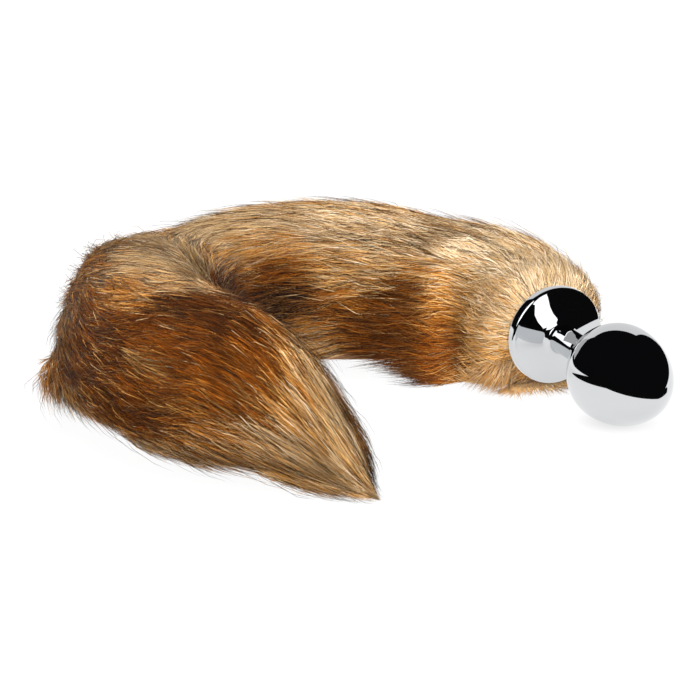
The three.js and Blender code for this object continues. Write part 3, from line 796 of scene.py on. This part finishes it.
# The studio: a dark room in front, which the chrome shows as black, a bright wall behind, strips of light by
# the stem, and lamps.
WHITE = (1, 1, 1, 1)
BLACK = (0.004, 0.004, 0.004, 1)
world = bpy.data.worlds.new("studio")
world.use_nodes = True
world.node_tree.nodes["Background"].inputs["Color"].default_value = (0.004, 0.004, 0.0045, 1)
bpy.context.scene.world = world


def card(name, corners, colour, strength):
    """A flat card that glows in one colour and that only mirrors see."""
    material = bpy.data.materials.new(name)
    material.use_nodes = True
    tree = material.node_tree
    tree.nodes.clear()
    glow = tree.nodes.new("ShaderNodeEmission")
    glow.inputs["Color"].default_value = colour
    glow.inputs["Strength"].default_value = strength
    tree.links.new(glow.outputs[0], tree.nodes.new("ShaderNodeOutputMaterial").inputs[0])
    made = new_piece(name, np.array(corners, float), [np.arange(len(corners))[None]], material, smooth=False)
    for ray in ("camera", "diffuse", "shadow", "transmission", "volume_scatter"):
        setattr(made, "visible_" + ray, False)


card("wall_behind", [(-270, 520, 0), (350, 520, 0), (350, 520, 520), (-270, 520, 520)], WHITE, 0.86)
# the dark of the room, as it lies on the table round the object
for name, plan in [("dark_right", [(175, -85), (3200, -85), (3200, 1200), (400, 130), (240, 45), (185, 10)]),
                   ("dark_front", [(-3200, -3200), (3200, -3200), (3200, -85), (-3200, -85)]),
                   ("dark_left", [(-3200, -85), (-15, -85), (-15, 60), (-3200, 60)])]:
    card(name, [(x, y, 0.1) for x, y in plan], BLACK, 1.0)
# a strip of light close above the stem, which only the base and the stem show
strip = np.array([(-7.0, 4.0), (-9.0, 7.1), (-10.0, 10.4), (-9.0, 15.1), (-8.1, 18.2), (-7.7, 21.0),
                  (-2.3, 21.0), (-1.8, 17.8), (-1.6, 14.2), (-0.5, 11.2), (1.5, 9.0), (1.0, 6.2),
                  (-4.0, 6.4)])
# a second one beside it, which only the stem shows, by way of the base
beside = np.array([(-34.0, 8.0), (-33.0, 18.0), (-26.0, 26.0), (-21.5, 30.5), (-16.5, 30.0), (-13.0, 20.5),
                   (-14.5, 15.0), (-18.5, 10.0), (-25.0, 9.8)])
# both have a dimmer card on the side towards the bulb
for name, shape, ahead, strength in [("strip_light", strip, 10.0, 1.8), ("strip_shield", strip, 10.4, 0.45),
                                     ("stem_light", beside, 10.0, 2.4), ("stem_shield", beside, 10.4, 0.55)]:
    corners = base_front + ahead * axis + shape[:, :1] * across + shape[:, 1:] * upright
    card(name, corners, WHITE, strength)


def lamp(name, place, aim, size, power):
    """An area lamp that mirrors don't show."""
    data = bpy.data.lights.new(name, "AREA")
    data.shape = "SQUARE"
    data.size = size
    data.energy = power
    made = bpy.data.objects.new(name, data)
    made.location = place
    made.rotation_mode = "QUATERNION"
    made.rotation_quaternion = (Vector(aim) - Vector(place)).to_track_quat("-Z", "Y")
    made.visible_glossy = False
    bpy.context.collection.objects.link(made)


lamp("overhead", (0.0, -0.1, 1.6), (0, 0, 0), 1.6, 38)
lamp("front_left", (-0.9, -1.5, 1.1), (0, 0, 0), 0.9, 30)
lamp("front_right", (0.9, -1.4, 0.9), (0, 0, 0), 0.9, 26)
lamp("front_low", (0.3, -1.8, 0.35), (0, 0, 0.02), 0.9, 15)

# The camera: about a metre in front of the object, 17 degrees above it.
camera = bpy.data.objects.new("camera", bpy.data.cameras.new("camera"))
camera.data.sensor_width = 36
camera.data.lens = 130.9
camera.data.shift_y = 16 / 700
camera.data.clip_start, camera.data.clip_end = 0.05, 20
camera.location = (-0.00435, -0.9692, 0.3164)
camera.rotation_euler = (math.radians(73), 0, 0)
bpy.context.collection.objects.link(camera)
bpy.context.scene.camera = camera
bpy.context.scene.view_settings.view_transform = "Standard"
